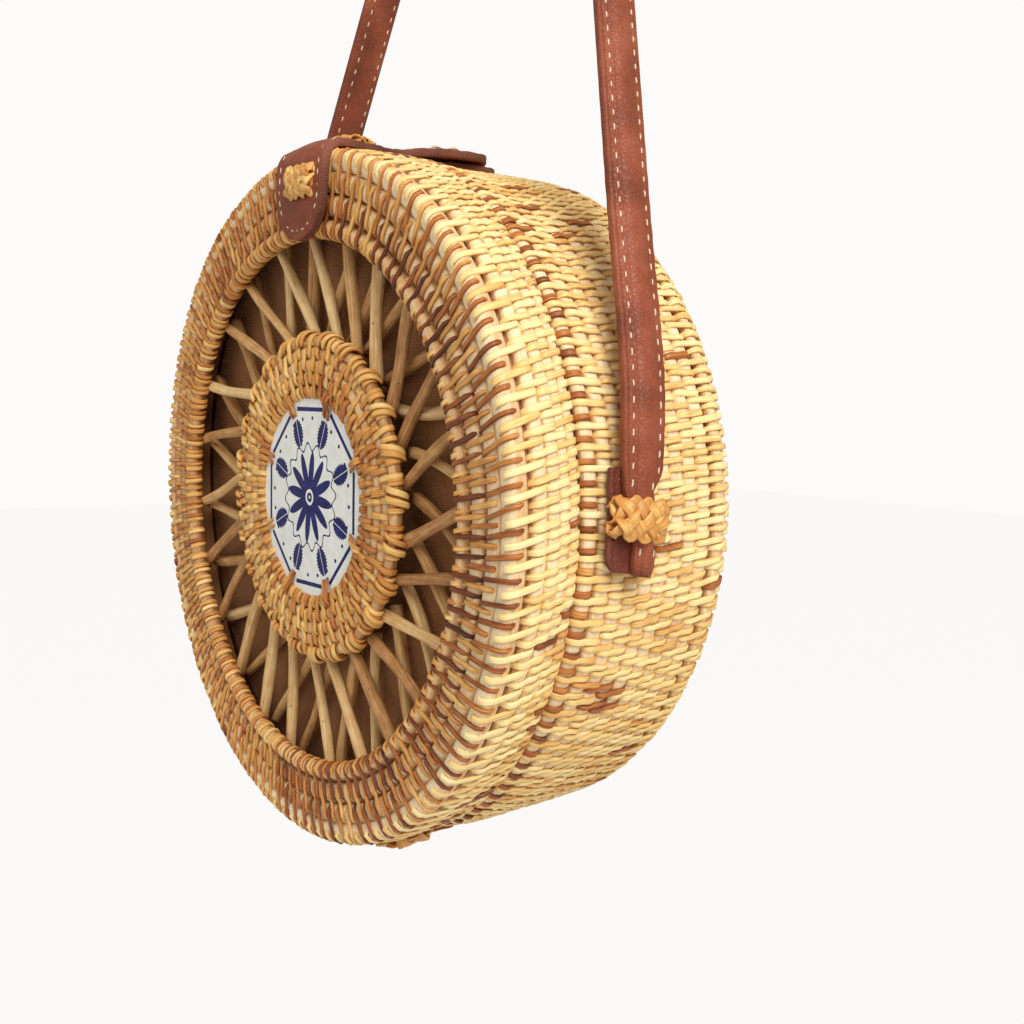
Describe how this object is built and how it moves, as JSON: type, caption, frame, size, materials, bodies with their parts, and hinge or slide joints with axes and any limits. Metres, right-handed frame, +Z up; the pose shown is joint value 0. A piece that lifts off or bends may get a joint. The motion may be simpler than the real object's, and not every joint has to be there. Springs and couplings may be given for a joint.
{
  "type": "round rattan shoulder bag",
  "caption": "Round woven rattan bag with a stick lattice and a glazed disc on its front, a hinged front half, a leather snap tab and a leather shoulder strap.",
  "frame": {"origin": "middle of the bag's flat back, on the drum's axis", "axes": "+Y out of the flat back, so the front face looks along -Y; +Z up through the closure towards the strap"},
  "size_m": [0.217, 0.0944, 0.4062],
  "materials": {
    "pale_weave": "satin split rattan",
    "orange_weave": "satin split rattan",
    "brown_cane": "satin split rattan",
    "sticks": "matte rattan core",
    "knot_cane": "glossy flat cane",
    "leather": "waxed leather",
    "dark_leather": "waxed leather",
    "lining": "ribbed cotton",
    "glaze": "clear glaze",
    "snap_metal": "brushed"
  },
  "bodies": {
    "strap": {"shoulder_strap": "leather", "strap_fold_left": "dark_leather", "strap_fold_right": "dark_leather", "strap_knot_left": "knot_cane", "strap_knot_right": "knot_cane", "strap_lashing_left": "knot_cane", "strap_lashing_right": "knot_cane"},
    "closure_flap": {"closure_flap": "leather", "snap_upper": "snap_metal"},
    "back_half": {"back_side_wall": "pale_weave", "back_panel": "pale_weave", "back_corner": "pale_weave", "back_rim_hoop": "brown_cane", "back_lining_disc": "lining", "back_lining_band": "lining", "back_tab": "leather", "snap_lower": "snap_metal", "hinge_lacing_left": "knot_cane", "hinge_lacing_right": "knot_cane"},
    "front_half": {"front_side_wall": "pale_weave", "front_rim_border": "pale_weave", "front_corner_hoop": "pale_weave", "front_ring": "orange_weave", "opening_hoop": "brown_cane", "lattice_front_layer": "sticks", "lattice_back_layer": "sticks", "hub_ring": "orange_weave", "hub_hoop": "orange_weave", "hub_ties": "knot_cane", "medallion": "glaze", "medallion_claws": "brown_cane", "front_lining_disc": "lining", "front_lining_band": "lining", "closure_tab": "leather", "tab_knot_front": "knot_cane", "tab_knot_top": "knot_cane", "hinge_knot_left": "knot_cane", "hinge_knot_right": "knot_cane"}
  },
  "joints": [
    {"name": "strap_swing", "type": "hinge", "parent": "strap", "child": "back_half", "pos_m": [0, -0.0445, 0.0015], "axis": [1, 0, 0], "range_deg": [-44, 26]},
    {"name": "lid_hinge", "type": "hinge", "parent": "back_half", "child": "front_half", "pos_m": [0, -0.05555, -0.0985], "axis": [1, 0, 0], "range_deg": [0, 100]},
    {"name": "flap_lift", "type": "hinge", "parent": "front_half", "child": "closure_flap", "pos_m": [0, -0.0577, 0.1016], "axis": [1, 0, 0], "range_deg": [0, 100]}
  ]
}
